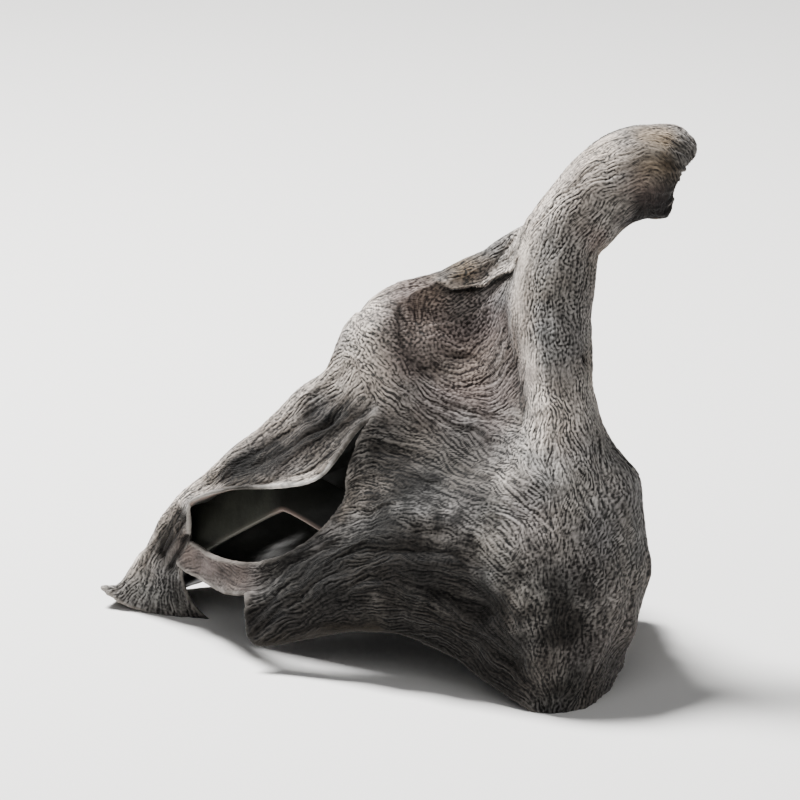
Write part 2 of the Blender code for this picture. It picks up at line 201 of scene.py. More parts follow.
# Flow lines of the hairs on the front, as points (across, up) in the leaning plane.
FRONT_STROKES = [
    [(13.9, 47), (13.25, 42.5), (13.5, 38), (14.75, 34), (15.75, 30.4), (15, 27)],
    [(18, 48.75), (17, 42.5), (17.5, 36.25), (18.75, 31.25), (20.75, 26.25), (22, 21.25)],
    [(21.8, 46), (21.3, 42.5), (21.2, 36.25), (22, 31.25), (24, 26.25), (26.2, 22.5)],
    [(15, 50), (18.75, 54.25), (23.75, 57.5), (28.75, 58.5)],
    [(20, 50.5), (22.5, 53.2), (25, 54.6), (27.4, 55.6)],
    [(24.3, 50.8), (26, 52.4), (27.3, 52.6), (28.2, 51.6), (28.5, 50.6)],
    [(24.5, 53), (27.1, 53.9), (28.6, 52.8), (29, 51.1)],
    [(28.2, 56.8), (29, 55), (29.4, 53), (29.5, 51.1)],
    [(22.5, 21.25), (25, 17.5), (26.4, 13.75), (26, 10), (23.75, 6.25)],
    [(17.6, 25), (19.8, 19), (20.75, 12.5), (20, 7.5), (18.75, 3.75)],
    [(16, 20), (16.5, 15), (17, 10), (16.5, 4)],
    [(-12.5, 9.5), (-8.75, 12.5), (-3.75, 15), (2, 15.5), (9.25, 13.5), (14, 10), (17.25, 5.75)],
    [(-3.75, 18.75), (1.25, 19.5), (7.5, 18), (12.5, 15.5), (16.25, 11.25), (18.75, 7.5)],
    [(-12.5, 7.5), (-6.25, 8.6), (0, 9.4), (4.5, 8.4), (8.75, 6), (12.5, 2.5)],
    [(-2.5, 25), (3, 24.5), (8.75, 22.5), (13.75, 20), (17, 17)],
    [(-1.75, 29.5), (2, 28), (6.25, 25.5), (10.5, 23), (14.5, 21)],
    [(-0.5, 33), (3, 30.5), (7, 27.5), (10.5, 25), (13.25, 23.25)],
    [(0.5, 36.25), (3, 33.25), (6.25, 30.5), (10, 28), (13.25, 27.5)],
    [(2, 40.5), (2.75, 37), (4.5, 34.5), (7.5, 32.75), (10.5, 33), (12.5, 35.5), (13, 38.75)],
    [(4, 41.25), (4.25, 38), (6.25, 35.5), (9, 35.5), (11, 38), (11.75, 41)],
    [(13.5, 49), (10, 46), (5, 43.8), (0, 42)],
    [(-3, 34.5), (-7, 31), (-11.25, 27.3), (-15.5, 24)],
    [(-1.25, 32), (-4.5, 28), (-8, 25), (-12.5, 23)],
    [(-17.5, 22.5), (-21.25, 19.5), (-24.25, 15), (-26.75, 11.5)],
    [(-21, 20), (-22.5, 16), (-22.5, 11), (-21.5, 7)],
    [(-3, 40.3), (-0.5, 39.4), (1.6, 38.2)],
    [(-3, 37.8), (-0.5, 36.7), (1.8, 35), (3.4, 33.4)],
    [(-21, 15.2), (-18.5, 14), (-15, 13), (-11.5, 12.8)],
    [(-13.8, 7.1), (-12, 8.7), (-10.2, 10.5), (-8, 12.2)],
    [(-13, 10.5), (-11, 12.6), (-9, 14.4)],
]
# What the drying left on the front: a line, how wide it is, and how far it stands out (or sinks in). A round
# fold is a soft swelling, a sharp one comes to an edge, and a lip comes forward on the left of its line and
# drops on the right.
FRONT_FOLDS = [
    ("round", [(15.2, 49.5), (14.2, 47), (13.9, 42.5), (14.1, 38), (15.2, 34), (16.2, 30.4)], 0.8, 0.3),
    ("sharp", [(12.9, 45.4), (12.3, 42.3), (12.4, 38), (13.4, 34), (14.4, 30.8), (13.8, 28)], 0.5, -0.35),
    ("sharp", [(20.3, 35.9), (20.5, 35.3)], 0.2, -0.5),
    ("round", [(15.75, 30.4), (14.75, 26.75), (13.9, 23.25), (11.25, 21.5), (7.75, 20), (0.5, 19.2)],
     1.6, 0.5),
    ("round", [(-1, 15.6), (3.7, 16.4), (6.8, 16.3), (9.1, 15.5), (10.4, 14.3)], 0.7, -0.3),
    ("lip", [(4.8, 44), (7, 42.9), (8.5, 43), (10.5, 43.1), (12.2, 44.4), (13.3, 45.3)], 0.35, 0.7),
    ("sharp", [(1.6, 41), (1.5, 39), (1.9, 36.6), (3.2, 35.5), (4.2, 34.7)], 0.4, -0.3),
    ("sharp", [(4.9, 39), (7.4, 39.4), (8.2, 40.3), (10.3, 40.8)], 0.3, 0.25),
    ("sharp", [(7.2, 36), (9, 35.8), (10, 35)], 0.3, -0.25),
    ("round", [(5.5, 12.2), (8, 11.9), (10, 10.5)], 1.5, -1.0),
    ("round", [(17.8, 11.3), (18.6, 9.3)], 1.4, -0.9),
    ("sharp", [(-20.2, 21.3), (-16, 22.6), (-11, 23.1), (-7.4, 24.2), (-4.6, 26.8)], 0.3, -0.26),
    ("sharp", [(-19.5, 21.9), (-15.5, 23.9), (-10.5, 26), (-5.5, 29.2)], 0.35, -0.24),
    ("sharp", [(-18.8, 22.8), (-14.5, 25.4), (-9.5, 28.6), (-5, 32.2)], 0.35, -0.24),
    ("sharp", [(-21.8, 19.8), (-22.9, 17.8), (-24.1, 15.2)], 0.3, -0.8),
    ("sharp", [(-21.2, 18.9), (-22.2, 17.2), (-23.6, 14.9)], 0.3, -0.8),
    ("sharp", [(-21, 16.8), (-21.6, 15.6), (-22.8, 13.6)], 0.28, -0.7),
    ("sharp", [(-23.6, 18), (-24.9, 15.8), (-26, 13.8)], 0.28, -0.4),
]
SHARP_TOP = 0.08  # how far a sharp fold is flat on each side of its line
LIP_GROWS = 3  # how far along its line a lip takes to reach its full height
PLEAT_HEIGHT = 0.35  # of the soft pleats that run down the back
PLEATS_A_RIB = 1.15  # how many of them there are from rib to rib
SWELL_HEIGHT = 0.2  # of the soft swellings all over the sheet
HEM_HEIGHT = 0.22  # how far the margin is rolled out
HEM_WIDTH = 0.8
HAIR_HEIGHT = 0.05  # of the ridges of matted hair, up or down
WRINKLE_HEIGHT = 0.13  # of the wrinkles under them, up or down
# The fold that hangs inside the tear: points along its free edge, how far it reaches up and near from there,
# and its thickness.
INNER_FOLD = [(-3.5, 16.2, -12.8), (-6, 17.4, -13.2), (-8.2, 18.7, -14.2), (-9.7, 19.5, -15.2),
              (-10.6, 19.9, -15.8), (-12, 19.2, -17), (-15.2, 17.5, -20), (-18.6, 15.6, -23.4),
              (-20.8, 14.4, -25.5)]
INNER_FOLD_REACH = (5.5, -2.5)
INNER_FOLD_SHEET = 0.45
# The horn's torn end: a spot (across, up, near), how wide it is, and how far it moved across and up.
TORN_END = [
    ((31, 56.6, -5.6), 2.0, (0.5, 0.5)),
    ((31, 53.6, -5.6), 1.8, (-1.1, 0.3)),
    ((28, 50.6, -5.6), 2.4, (1.0, -0.9)),
    ((30, 59.6, -5.6), 1.8, (0.1, 0.45)),
]
HORN_END = (54.8, -5.6)  # up and near of the horn's line where it ends
LIP_TURNS = [math.radians(turn) for turn in (-45, 0, 45)]  # the points round the sheet's lip, at its margin
# Where the front's looks change: points (across, up) along each patch's middle, its radius and its strength.
PATCHES = {
    "blush": [([(4, 39), (9, 37), (9, 33)], 4.4, 0.9), ([(3, 42.5)], 3, 0.7), ([(1, 36)], 3, 0.5),
              ([(-9, 26.5)], 5, 0.4), ([(-20.5, 15), (-15.5, 13)], 2.2, 1),
              ([(13, 38), (13.6, 33)], 1.4, 0.6), ([(21.8, 47.5)], 1.8, 0.8), ([(24, 8)], 6, 0.3),
              ([(2, 31)], 4, 0.25), ([(26, 53), (27.5, 51)], 1.6, 0.6)],
    "ochre": [([(26.5, 58.4), (28.5, 58)], 1.5, 0.75), ([(27, 55.4), (29.5, 54.5)], 1.0, 0.5),
              ([(22.5, 57)], 2.5, 0.35), ([(26.5, 54.8)], 2.2, 0.4), ([(-18.5, 23.5)], 1.6, 0.4),
              ([(8.2, 45)], 1.8, 0.8), ([(4.2, 42)], 1.8, 0.3),
              # The line below, along the lobe's bottom margin, is partly a painted highlight where the margin
              # catches the light.
              ([(-12.6, 5.6), (-9, 6.8), (-5.5, 7.6), (-1, 7.9)], 0.9, 0.6)],
    # A purple tint under the horn's hook, dark enough to be partly painted shade.
    "plum_and_shade": [([(28.3, 51)], 1.8, 1), ([(26, 49.8)], 1.6, 0.8)],
    "calm": [([(18.3, 34)], 1.6, 0.6),
             ([(14.3, 46), (13.9, 43), (13.9, 40), (14.2, 37), (15.2, 33.5)], 0.9, 0.8),
             ([(-21, 15.2), (-18, 13.6), (-15, 12.8)], 2.2, 1), ([(27, 56.5), (27.6, 53)], 2.8, 0.65),
             ([(-12.6, 5.6), (-9, 6.8), (-5.5, 7.6), (-1, 7.9)], 0.9, 0.9)],
    "netted": [([(7.5, 38)], 5, 1), ([(0, 37)], 3.5, 0.7), ([(18.5, 45), (18.5, 37)], 3, 0.8),
               ([(21, 11.5)], 6.5, 0.9)],
    # The patches below are painted shade: the lower body, the dents, the hollows by the lip and under the
    # flap, and the underside of the horn's hook, darkened as if in shadow.
    "shade_and_tone": [([(-14, 6), (-4, 8), (5, 6), (9, 4)], 8, 0.88), ([(10, 3), (22, 4)], 8, 0.54),
             ([(-9, 12.5), (-3, 14.5), (4, 14.5)], 5.2, 0.95),
             ([(5.5, 12), (8, 11.8), (10, 10.5)], 2.6, 0.85), ([(17.8, 11.3), (18.6, 9.3)], 2.6, 0.6),
             ([(9, 14), (20, 13), (27, 14)], 5, 0.26), ([(-1, 25), (7.5, 25.5)], 4.5, 0.72),
             ([(1, 19)], 4, 0.6), ([(3, 22.3), (9.5, 22)], 2, 0.5), ([(7.2, 34.6)], 2, 0.3),
             ([(-4, 30), (-10, 25.8), (-15, 23.8)], 2.4, 0.78),
             ([(-1.5, 31), (-3.4, 27), (-5, 24.6)], 0.5, 0.5), ([(-23, 10.5)], 3.2, 0.4),
             ([(6, 44.8), (9.5, 46)], 1.5, 0.5), ([(18.5, 47)], 2.5, 0.4), ([(18, 43)], 2, 0.25),
             ([(30.5, 53.4)], 2.6, 0.85), ([(30, 56.8)], 1.3, 0.35), ([(26.5, 50.5), (29, 50.5)], 2.1, 0.92),
             ([(8, 38.8), (10.4, 38)], 2.8, 0.2), ([(20.5, 44), (20.5, 36)], 2.5, 0.25),
             ([(27, 20), (27.5, 14)], 3, 0.15)],
    # The patches below are partly pale hair and partly painted highlight: the horn's top, the arm's ridge,
    # the bump, the lip's upper edge, the flap's rim, the leg's edge and a thin margin, lightened as if lit.
    "pale_and_lit": [([(-3.4, 21.6), (-4.5, 19.2)], 0.35, 0.9),
              ([(14.2, 47), (13.9, 43), (13.9, 40), (14.1, 37), (15, 34), (16, 31)], 1.0, 1),
              ([(16, 28)], 2, 0.6),
              ([(5.2, 44.1), (7, 43.1), (8.5, 43.3), (10.5, 43.4), (12.2, 44.7)], 0.3, 0.8),
              ([(-17.6, 24.4), (-22.5, 20.6), (-25.8, 15.8), (-27.4, 13.4)], 0.9, 0.9),
              ([(-22.6, 17)], 2.5, 0.3), ([(-6, 34.6), (-11, 29.8), (-16.8, 25.4), (-22.1, 20.7)], 0.6, 0.9),
              ([(-19.5, 21.4), (-15.4, 22.9), (-11.4, 22.8), (-8, 23.2), (-5.6, 24.6)], 0.6, 1),
              ([(14, 24.4), (12.4, 23)], 1.6, 0.25), ([(18, 31.5)], 3, 0.45),
              ([(-1.5, 41), (-1.5, 33.5)], 2.6, 1), ([(3.6, 38)], 1.8, 0.3),
              ([(15, 50.5), (18, 54.5), (22, 57.6)], 2.6, 1), ([(-4, 33)], 2.5, 0.7)],
}
USUAL_SHADE_AND_TONE = 0.35  # how strong the darkening is where no patch says, on average: a random darker tone
USUAL_TINT = 0.18  # and how strong the other tints are

# The noises: a seed, how long the waves are in millimetres, how much that varies, and the size of the block.
NOISES = {
    "swell": (11, 7.0, 0.35, 48),
    "pleats": (12, 3, 0.5, 64),
    "grain": (13, 0.9, 0.4, 64),
    "bend": (14, 14, 0.5, 32),
    "long sway": (21, 3.4, 0.4, 64),
    "short sway": (24, 1.0, 0.4, 96),
    "hairs": (22, 0.34, 0.22, 128),
    "thin hairs": (25, 0.26, 0.25, 128),
    "tone": (27, 0.9, 0.4, 96),
    "wrinkles": (23, 2.0, 0.4, 96),
    "pits": (28, 0.40, 0.25, 128),
    "zones": (26, 6, 0.5, 64),
    "rough": (26, 4.5, 0.5, 64),
    "ragged": (31, 3.2, 0.5, 64),
} | {name: (40 + index, 9, 0.5, 48) for index, name in enumerate(PATCHES)}
VOXELS_A_WAVE = 5
# How far along the hairs each noise is averaged, in millimetres: one or more reaches for each.
HAIR_REACHES = {"hairs": (0.8, 0.3), "thin hairs": (0.3,), "tone": (1.2,), "wrinkles": (2.4,)}
TAIL = 2.2  # the average goes on for this many reaches
HAIR_STEP = 0.16  # and takes steps of this length
HINT_REACH = 2.4  # how far a hint of the hairs' way reaches
RIB_SHARE = 0.04  # how much a rib's hint counts beside a stroke's
FIRST_GUESS = (0.3, 0.2, 1)  # the way the hairs lie where there is no hint at all
SPARSE = 7  # one point in so many is looked at for a hint's normal
BATCH = 20000  # how many points are worked out at a time
LONG_SPOT = (20, 21)  # a spot (across, up) on the front where the ridges run long as well
LONG_WIDTH = 5.5

# The colours, in linear light. Where there are two, noise or the pale-and-lit mask chooses between them.
GREY_CRESTS = ((0.21, 0.206, 0.198, 1), (0.325, 0.32, 0.309, 1))
# Tints over the crests: the pale one is partly a painted highlight, and the plum one partly painted shade.
CREST_TINTS = [
    ("pale_and_lit", 1, (0.97, 0.855, 0.745, 1)),
    ("blush", 0.85, (0.215, 0.165, 0.15, 1)),
    ("ochre", 0.75, (0.38, 0.265, 0.15, 1)),
    ("plum_and_shade", 0.8, (0.10, 0.07, 0.085, 1)),
]
# The dark base between the crests: partly the dark flesh under the hairs and partly painted shade in the
# grooves.
DARK_HOLLOWS = ((0.013, 0.0125, 0.012, 1), (0.022, 0.015, 0.0135, 1))
# The hollows lightened where the patches paint pale hair and painted highlight.
PALE_AND_LIT_HOLLOWS = (0.12, 0.116, 0.11, 1)
# A pale margin, partly a painted highlight where the rim catches the light; near white where the pale mask is
# strong.
PALE_AND_LIT_MARGINS = ((0.24, 0.215, 0.19, 1), (0.80, 0.77, 0.72, 1))
# Painted shade, multiplied over the colour where the patches and creases say, on top of a random darker tone.
SHADE_AND_TONE = (0.07, 0.068, 0.066, 1)
INSIDE_BLACKS = ((0.004, 0.0041, 0.0038, 1), (0.012, 0.0123, 0.0105, 1))
# Painted light: the inside lightened where it is marked as lit.
INSIDE_PALE_AND_LIT = (0.042, 0.043, 0.035, 1)
INSIDE_MARGINS = ((0.22, 0.165, 0.14, 1), (0.085, 0.08, 0.066, 1))
FLOOR_COLOUR = (0.72, 0.71, 0.69, 1)
SKY_COLOUR = (0.9, 0.93, 1, 1)

# The studio and the camera, in metres. Each lamp has its place, its size and its power.
FLOOR_REACH = 3.0
LAMPS = [
    ("key", (-0.18, 0.14, 0.46), 0.14, 12.5),
    ("fill", (0.40, -0.45, 0.30), 0.4, 1.1),
    ("front", (-0.15, -0.5, 0.45), 0.4, 1.0),
]
LIT_SPOT = (0, 0, 0.025)
CAMERA_AIM = (0, 0, 0.0265)
CAMERA_RISE = math.radians(15)
CAMERA_DISTANCE = 0.6


def leaning(points):
    """World points in millimetres, as (across, up, near) of the leaning plane."""
    deep, height = points[:, 1] + MIDDLE[1], points[:, 2]
    up = deep * math.sin(LEAN) + height * math.cos(LEAN)
    near = height * math.sin(LEAN) - deep * math.cos(LEAN)
    return np.stack([points[:, 0] + MIDDLE[0], up, near], 1)


def upright(places):
    """Points (across, up, near) of the leaning plane, as world points in millimetres."""
    deep = places[:, 1] * math.sin(LEAN) - places[:, 2] * math.cos(LEAN)
    height = places[:, 1] * math.cos(LEAN) + places[:, 2] * math.sin(LEAN)
    return np.stack([places[:, 0] - MIDDLE[0], deep - MIDDLE[1], height], 1)


def stood_up(point):
    """A point of the leaning plane, in metres on the table."""
    return upright(np.array([point], float))[0] * MM


def faces_front(normals):
    """How squarely each normal points out of the leaning plane, from -1 to 1."""
    return normals[:, 2] * math.sin(LEAN) - normals[:, 1] * math.cos(LEAN)


def placed(name, data):
    """A new object, in the scene."""
    item = bpy.data.objects.new(name, data)
    bpy.context.scene.collection.objects.link(item)
    return item


def soften(item, levels):
    """Makes the object a smooth surface, by so many levels of subdivision."""
    smooth = item.modifiers.new("Soften", "SUBSURF")
    smooth.levels = smooth.render_levels = levels


def evaluated(item):
    """The object with its modifiers applied."""
    return item.evaluated_get(bpy.context.evaluated_depsgraph_get())


def horn_ring(index):
    """Points round the horn, square to its own line, one for each rib."""
    (across, up, near), radius = HORN[index]
    before = HORN[max(index - 1, 0)][0]
    after = HORN[min(index + 1, len(HORN) - 1)][0]
    run, rise = before[0] - after[0], before[1] - after[1]
    length = math.hypot(run, rise)
    points = []
    for name in RIBS_ROUND:
        turn = math.radians(EVERY_RIB[name][0])
        side = radius * math.cos(turn) / length
        points.append((across + side * rise, up - side * run, near + radius * math.sin(turn)))
    return points


class Cage:
    """The coarse cage of the skin. Each point knows its rib, row and wall, and each face its piece."""

    def __init__(self):
        self.mesh = bmesh.new()
        self.crisp = self.mesh.edges.layers.float.new("crease_edge")
        self.pointed = self.mesh.verts.layers.float.new("crease_vert")
        self.marks = [self.mesh.verts.layers.float.new(name) for name in MARKS]
        self.piece = self.mesh.faces.layers.int.new("piece")

    def point(self, place, rib, row, wall=SHEET):
        vertex = self.mesh.verts.new(stood_up(place))
        for layer, value in zip(self.marks, (rib, row, wall)):
            vertex[layer] = value
        return vertex

    def face(self, corners, piece):
        self.mesh.faces.new(corners)[self.piece] = piece

    def lay_ribs(self):
        """Every rib's points. The tear and the flap's edge share theirs down to the notch."""
        numbers = {name: index for index, name in enumerate(RIBS_ROUND)} | {"flap edge": TEAR + 0.5}
        ribs = {}
        for name, (turn, places) in EVERY_RIB.items():
            top = NOTCH + 1 if name == "flap edge" else 0
            ribs[name] = [self.point(place, numbers[name], top + row) for row, place in enumerate(places)]
        ribs["flap edge"] = ribs["tear"][:NOTCH + 1] + ribs["flap edge"]
        return ribs

    def lay_horn(self, neck):
        """The horn, from its torn end down to the ring of the neck."""
        rings = []
        for index in range(len(HORN)):
            wall = SHEET if index == len(HORN) - 1 else HORN_WALL
            row = index - len(HORN)
            rings.append([self.point(place, rib, row, wall) for rib, place in enumerate(horn_ring(index))])
        rings.append(neck)
        scar = self.point(SCAR, 0, -len(HORN) - 1, HORN_WALL)
        for k in range(len(neck)):
            after = (k + 1) % len(neck)
            self.face((scar, rings[0][after], rings[0][k]), HORN_PIECE)
            for upper, lower in zip(rings, rings[1:]):
                self.face((upper[k], upper[after], lower[after], lower[k]), HORN_PIECE)

    def lay_sheet(self, ribs, pieces):
        """The sheet between the ribs, in two pieces side by side."""
        for strip, (right, left) in enumerate(zip(ribs, ribs[1:])):
            piece = pieces[0] if 2 * strip < len(ribs) - 1 else pieces[1]
            for row in range(len(right) - 1):
                self.face((right[row], left[row], left[row + 1], right[row + 1]), piece)

    def lay_tongue(self, tear):
        """The tongue, from the rows of the tear that it starts at."""
        upper, lower = (tear[row] for row in TONGUE_ROWS)
        for step in TONGUE:
            next_upper, next_lower = (self.point(place, TEAR, TONGUE_ROWS[0]) for place in step)
            self.face((upper, next_upper, next_lower, lower), FRONT_PIECES[1])
            upper, lower = next_upper, next_lower

    def sharpen(self, ribs):
        """The folds and the corners that dried crisp."""
        for name, first, last, amount in FOLDS:
            for one, other in zip(ribs[name][first:last], ribs[name][first + 1:last + 1]):
                self.mesh.edges.get((one, other))[self.crisp] = amount
        for name, row, amount in CORNERS:
            ribs[name][row][self.pointed] = amount


def coarse_mesh():
    """The cage of the whole skin, as a mesh."""
    cage = Cage()
    ribs = cage.lay_ribs()
    cage.lay_horn([ribs[name][0] for name in RIBS_ROUND])
    for group, pieces in ((FRONT_RIBS, FRONT_PIECES), (BACK_RIBS, BACK_PIECES)):
        cage.lay_sheet([ribs[name] for name in group], pieces)
    cage.lay_tongue(ribs["tear"])
    cage.sharpen(ribs)
    mesh = bpy.data.meshes.new("cage")
    cage.mesh.to_mesh(mesh)
    cage.mesh.free()
    return mesh


def read(items, name, width, kind=np.float32):
    """One property of every item, as an array."""
    values = np.empty(len(items) * width, kind)
    items.foreach_get(name, values)
    return values.reshape(-1, width) if width > 1 else values


def refined_skin():
    """The skin's points in millimetres, its faces, what each point is marked with, and each face's piece."""
    item = placed("cage", coarse_mesh())
    soften(item, LEVELS)
    fine = evaluated(item).to_mesh()
    points = read(fine.vertices, "co", 3).astype(np.float64) / MM
    faces = read(fine.loops, "vertex_index", 1, np.int32).reshape(-1, 4)
    marks = {name: read(fine.attributes[name].data, "value", 1) for name in MARKS}
    piece = read(fine.attributes["piece"].data, "value", 1, np.int32)
    bpy.data.objects.remove(item, do_unlink=True)
    return points, faces, marks, piece


def unit(vectors):
    """The vectors, each 1 long."""
    return vectors / np.maximum(np.linalg.norm(vectors, axis=-1, keepdims=True), 1e-12)


def added_up(where, values, count):
    """The values added up at each of count places, as where says. A value is a number or a vector."""
    if values.ndim == 1:
        return np.bincount(where, values, count)
    return np.stack([np.bincount(where, column, count) for column in values.T], 1)


def summed_normals(points, faces):
    """The normals of the faces round each point, added up. A triangle's fourth corner is its first again."""
    last = points[faces[:, 3 % faces.shape[1]]]
    square = np.cross(points[faces[:, 2]] - points[faces[:, 0]], last - points[faces[:, 1]])
    return sum(added_up(corner, square, len(points)) for corner in faces.T)


def normals_of(points, faces):
    return unit(summed_normals(points, faces))


def numbered(sides, count):
    """A number for each side, the same both ways along it."""
    return sides.min(1) * count + sides.max(1)


def edges_of(faces, count):
    """The edges, once each, the rim's edges as directed along their face, and that face."""
    sides = np.concatenate([faces[:, [k, (k + 1) % 4]] for k in range(4)]).astype(np.int64)
    once, first, found = np.unique(numbered(sides, count), return_index=True, return_counts=True)
    alone = first[found == 1]
    return sides[first], sides[alone], alone % len(faces)


def neighbours_of(edges, count, most=6):
    """The neighbours of each point, up to the most. A point with fewer is its own neighbour as well."""
    both = np.concatenate([edges, edges[:, ::-1]])
    both = both[np.argsort(both[:, 0], kind="stable")]
    first = np.searchsorted(both[:, 0], np.arange(count))
    rank = np.arange(len(both)) - first[both[:, 0]]
    near = np.tile(np.arange(count)[:, None], (1, most))
    kept = rank < most
    near[both[kept, 0], rank[kept]] = both[kept, 1]
    return near


def from_neighbours(values, edges):
    """The values of each point's neighbours, added up."""
    return sum(added_up(edges[:, one], values[edges[:, 1 - one]], len(values)) for one in (0, 1))


def evened(values, edges, rounds):
    """Values at the points, each drawn towards its neighbours' average."""
    count = np.bincount(edges.ravel())
    for _ in range(rounds):
        values = 0.4 * values + 0.6 * from_neighbours(values, edges) / count
    return values


def relaxed(points, edges, rounds, held):
    """The points drawn towards their neighbours' middle, apart from those held."""
    count = np.bincount(edges.ravel())[:, None]
    points = points.copy()
    for _ in range(rounds):
        middle = from_neighbours(points, edges) / count
        middle[held] = points[held]
        points += 0.5 * (middle - points)
    return points


def smoothstep(low, high, values):
    """From 0 at low to 1 at high, softly."""
    part = np.clip((values - low) / (high - low), 0, 1)
    return part * part * (3 - 2 * part)


def bell(apart, width):
    """From 1 where apart is 0 to nothing some widths away."""
    return np.exp(-(apart / width) ** 2)


def tree_of(points):
    """The points, to be searched for the nearest."""
    tree = KDTree(len(points))
    for index, point in enumerate(points):
        tree.insert(point, index)
    tree.balance()
    return tree


class Noise:
    """A repeating block of noise whose waves are all about as long as NOISES says."""

    def __init__(self, name):
        seed, wave, spread, self.size = NOISES[name]
        self.voxel = wave / VOXELS_A_WAVE
        turns = np.fft.fftfreq(self.size, self.voxel)
        half = np.fft.rfftfreq(self.size, self.voxel)
        radius = np.sqrt(turns[:, None, None] ** 2 + turns[None, :, None] ** 2 + half[None, None, :] ** 2)
        spectrum = np.fft.rfftn(np.random.default_rng(seed).standard_normal((self.size,) * 3))
        spectrum *= np.exp(-((radius * wave - 1) / spread) ** 2 / 2)
        block = np.fft.irfftn(spectrum, s=(self.size,) * 3)
        self.block = (block / block.std()).astype(np.float32).ravel()

    def at(self, points):
        """The noise at each point, from the eight voxels round it."""
        place = points / self.voxel
        low = np.floor(place)
        part = (place - low).astype(np.float32)
        low = low.astype(np.int64) % self.size
        high = (low + 1) % self.size
        steps = (self.size * self.size, self.size, 1)
        ends = [((low[:, k] * step, 1 - part[:, k]), (high[:, k] * step, part[:, k]))
                for k, step in enumerate(steps)]
        total = 0
        for x, share_x in ends[0]:
            for y, share_y in ends[1]:
                plane = x + y
                share = share_x * share_y
                for z, share_z in ends[2]:
                    total = total + self.block[plane + z] * (share * share_z)
        return total


def nearest_on_front(places, facing, spot):
    """The index of the front's point at this (across, up)."""
    apart = (places[:, 0] - spot[0]) ** 2 + (places[:, 1] - spot[1]) ** 2
    near = np.where((apart < 0.5) & facing, places[:, 2], -FAR)
    best = int(near.argmax())
    return best if near[best] > -FAR else int(np.where(facing, apart, FAR).argmin())


def flow_lines(points, normals):
    """Lines that the hairs follow, the parts of each step to take hints at, and how much these count."""
    places = leaning(points)
    facing = faces_front(normals) > 0.15
    lines = [(points[[nearest_on_front(places, facing, spot) for spot in stroke]], (0.25, 0.75), 1)
             for stroke in FRONT_STROKES]
    rings = [[stood_up(place) / MM for place in horn_ring(index)] for index in range(len(HORN))]
    coarse = [[stood_up(place) / MM for place in rib] for turn, rib in EVERY_RIB.values()]
    coarse += [pair for upper, lower in zip(rings, rings[1:]) for pair in zip(upper, lower)]
    return lines + [(line, (0.5,), RIB_SHARE) for line in coarse]


def strongest_way(matrices, up):
    """The way along the skin in which each symmetric matrix is strongest."""
    flat = np.eye(3, dtype=np.float32) - up[:, :, None] * up[:, None, :]
    matrices = flat @ matrices @ flat
    way = np.ones((len(up), 3), np.float32) * np.array(FIRST_GUESS, np.float32)
    for _ in range(24):
        way = unit(np.einsum("nij,nj->ni", matrices, way) + 1e-9 * way)
    return way


def hair_flow(points, normals):
    """The way the hairs lie at each point: down the ribs, but as the strokes say where there are some."""
    spots, ways, weights = [], [], []
    for line, parts, weight in flow_lines(points, normals):
        for one, other in zip(line, line[1:]):
            for part in parts:
                spots.append(one + (other - one) * part)
                ways.append(other - one)
                weights.append(weight)
    spots, ways = np.array(spots, np.float32), unit(np.array(ways, np.float32))
    tree = tree_of(points[::SPARSE])
    spot_normals = normals[::SPARSE][[tree.find(spot)[1] for spot in spots]].astype(np.float32)
    pairs = [(0, 0), (1, 1), (2, 2), (0, 1), (0, 2), (1, 2)]
    weights = np.array(weights, np.float32)[:, None]
    tensors = np.stack([ways[:, i] * ways[:, j] for i, j in pairs], 1) * weights
    flow = np.empty((len(points), 3), np.float32)
    for start in range(0, len(points), BATCH):
        some = slice(start, start + BATCH)
        here, up = points[some].astype(np.float32), normals[some].astype(np.float32)
        apart = (here ** 2).sum(1)[:, None] + (spots ** 2).sum(1)[None] - 2 * here @ spots.T
        alike = np.clip(up @ spot_normals.T, 0.02, 1) ** 2
        share = (np.exp(-apart / (2 * HINT_REACH ** 2)) + 1e-6 / (1 + apart)) * alike
        matrices = np.zeros((len(here), 3, 3), np.float32)
        for (i, j), values in zip(pairs, (share @ tensors).T):
            matrices[:, i, j] = matrices[:, j, i] = values
        flow[some] = strongest_way(matrices, up)
    return flow


def walked(index, place, way, skin):
    """One step along the hairs from each place: the point now nearest, the new place and the way on."""
    centre, raised, flow, near = skin
    here = flow[index]
    way = here * np.where((here * way).sum(1) < 0, -1, 1)[:, None].astype(np.float32)
    place = place + way * np.float32(HAIR_STEP)
    up = raised[index]
    place = place - up * ((place - centre[index]) * up).sum(1)[:, None]
    for _ in range(2):
        options = np.concatenate([index[:, None], near[index]], 1)
        apart = ((centre[options] - place[:, None]) ** 2).sum(2)
        index = options[np.arange(len(index)), apart.argmin(1)]
    return index, place, way


def drawn_out(noises, skin):
    """Each noise averaged along the way the hairs lie, over each of its reaches in turn."""
    centre, raised, flow, near = skin
    found = [[noise.at(centre)] * len(reaches) for noise, reaches in noises]
    farthest = max(reach for noise, reaches in noises for reach in reaches)
    for turn in (-1, 1):
        index, place, way = np.arange(len(centre)), centre, flow * np.float32(turn)
        for count in range(1, math.ceil(TAIL * farthest / HAIR_STEP) + 1):
            index, place, way = walked(index, place, way, skin)
            for (noise, reaches), totals in zip(noises, found):
                if count * HAIR_STEP > TAIL * max(reaches):
                    continue
                values = noise.at(place)
                for k, reach in enumerate(reaches):
                    totals[k] = totals[k] + math.exp(-(count * HAIR_STEP / reach) ** 2 / 2) * values
    return found


